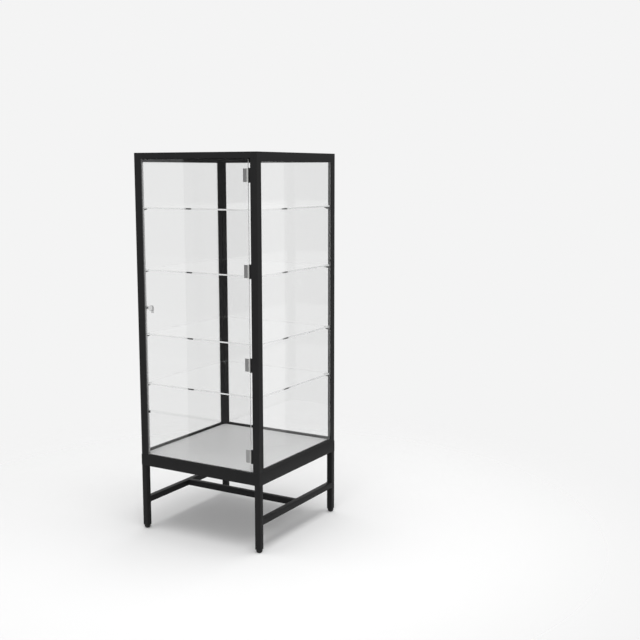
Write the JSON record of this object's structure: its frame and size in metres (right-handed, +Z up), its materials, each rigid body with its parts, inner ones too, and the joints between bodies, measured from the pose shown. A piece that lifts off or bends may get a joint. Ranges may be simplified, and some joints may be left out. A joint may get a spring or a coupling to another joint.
{
  "type": "display case",
  "caption": "Tall square glazed display case on a tube stand, with a hinged glass door, a cam lock and lift-off glass shelves on slotted posts.",
  "frame": {"origin": "centre of the plan at floor level, under the glides", "axes": "+Z up, +Y from the door towards the rear pane, +X towards the hinge side as seen from the front"},
  "size_m": [0.602, 0.602, 1.59],
  "materials": {
    "frame_black": "satin powder coat",
    "side_glass": "clear polished float glass",
    "door_glass": "clear polished toughened glass",
    "shelf_glass": "clear glass with ground edges",
    "pale_laminate": "matte pale grey laminate",
    "satin_steel": "satin",
    "lock_chrome": "nickel plated, polished",
    "black_rubber": "matte",
    "black_plastic": "matte moulded"
  },
  "bodies": {
    "frame": {"apron_front": "frame_black", "apron_left": "frame_black", "apron_rear": "frame_black", "apron_right": "frame_black", "door_bumper": "black_rubber", "door_top_seal": "black_rubber", "floor_bearer": "frame_black", "floor_panel": "pale_laminate", "head_left": "frame_black", "head_rear": "frame_black", "head_right": "frame_black", "hinge_1_bracket": "frame_black", "hinge_2_bracket": "frame_black", "hinge_3_bracket": "frame_black", "hinge_4_bracket": "frame_black", "hinge_pins": "satin_steel", "jamb_strip": "frame_black", "leg_front_left": "frame_black", "leg_front_right": "frame_black", "leg_glides": "black_plastic", "leg_rear_left": "frame_black", "leg_rear_right": "frame_black", "pane_left": "side_glass", "pane_rear": "side_glass", "pane_right": "side_glass", "pane_seals": "black_rubber", "post_front_left": "frame_black", "post_front_right": "frame_black", "post_rear_left": "frame_black", "post_rear_right": "frame_black", "rail_front": "frame_black", "rail_left": "frame_black", "rail_rear": "frame_black", "rail_right": "frame_black", "shelf_1_brackets": "satin_steel", "shelf_2_brackets": "satin_steel", "shelf_3_brackets": "satin_steel", "shelf_4_brackets": "satin_steel", "sill_left": "frame_black", "sill_rear": "frame_black", "sill_right": "frame_black", "stretcher_centre": "frame_black", "stretcher_left": "frame_black", "stretcher_right": "frame_black", "strike_plate": "satin_steel", "top_panel": "frame_black"},
    "door": {"door_glass": "door_glass", "hinge_1_leaf": "satin_steel", "hinge_2_leaf": "satin_steel", "hinge_3_leaf": "satin_steel", "hinge_4_leaf": "satin_steel", "lock_body": "lock_chrome", "lock_nut": "lock_chrome"},
    "lock_core": {"lock_plug": "lock_chrome", "lock_cam": "satin_steel", "cam_screw": "satin_steel"},
    "shelf_1": {"shelf_1": "shelf_glass"},
    "shelf_2": {"shelf_2": "shelf_glass"},
    "shelf_3": {"shelf_3": "shelf_glass"},
    "shelf_4": {"shelf_4": "shelf_glass"}
  },
  "joints": [
    {"name": "door_swing", "type": "hinge", "parent": "frame", "child": "door", "pos_m": [0.262, -0.297, 0.9475], "axis": [0, 0, 1], "range_deg": [0, 110]},
    {"name": "lock_turn", "type": "hinge", "parent": "door", "child": "lock_core", "pos_m": [-0.235, -0.291, 0.955], "axis": [0, 1, 0], "range_deg": [0, 90]},
    {"name": "shelf_1_lift", "type": "slide", "parent": "frame", "child": "shelf_1", "axis": [0, 0, 1], "range_m": [0, 0.05]},
    {"name": "shelf_2_lift", "type": "slide", "parent": "frame", "child": "shelf_2", "axis": [0, 0, 1], "range_m": [0, 0.05]},
    {"name": "shelf_3_lift", "type": "slide", "parent": "frame", "child": "shelf_3", "axis": [0, 0, 1], "range_m": [0, 0.05]},
    {"name": "shelf_4_lift", "type": "slide", "parent": "frame", "child": "shelf_4", "axis": [0, 0, 1], "range_m": [0, 0.05]}
  ]
}
